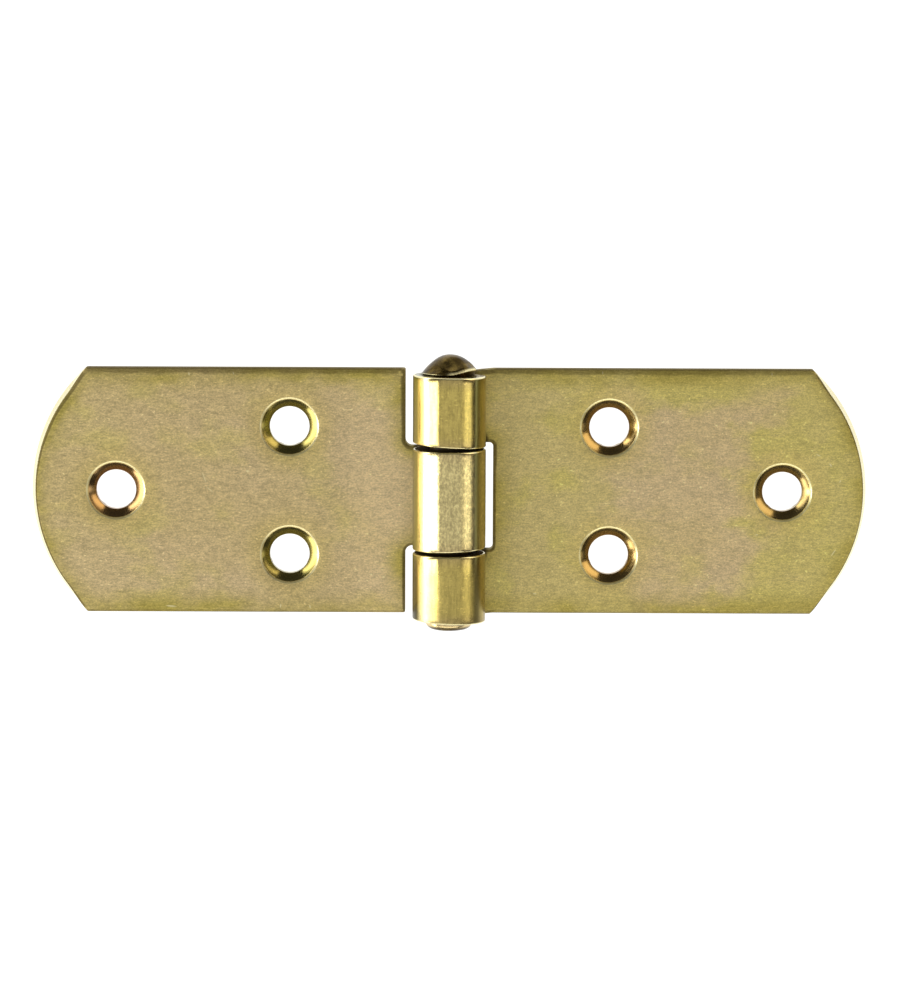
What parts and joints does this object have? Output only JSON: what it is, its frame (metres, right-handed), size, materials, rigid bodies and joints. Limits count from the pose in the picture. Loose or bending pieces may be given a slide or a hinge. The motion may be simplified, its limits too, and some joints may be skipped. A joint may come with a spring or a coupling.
{
  "type": "narrow butt hinge",
  "caption": "Narrow sheet-metal butt hinge with long round-ended leaves, countersunk screw holes and rolled knuckles that swing on a riveted pin.",
  "frame": {"origin": "on the back faces, straight below the pin's axis, at the middle of the leaves' width", "axes": "+X across the leaves towards the leaf with two knuckles, +Y along the pin towards its domed head, +Z out of the front faces"},
  "size_m": [0.102, 0.0337, 0.0089],
  "materials": {
    "leaf_zinc": "yellow passivated zinc on rolled steel sheet, satin",
    "pin_zinc": "yellow passivated zinc on hammered steel, darker"
  },
  "bodies": {
    "right_side": {"right_leaf": "leaf_zinc", "hinge_pin": "pin_zinc"},
    "left_side": {"left_leaf": "leaf_zinc"}
  },
  "joints": [
    {"name": "leaf_swing", "type": "hinge", "parent": "right_side", "child": "left_side", "pos_m": [0, 0, 0.00445], "axis": [0, 1, 0], "range_deg": [-95, 180]}
  ]
}
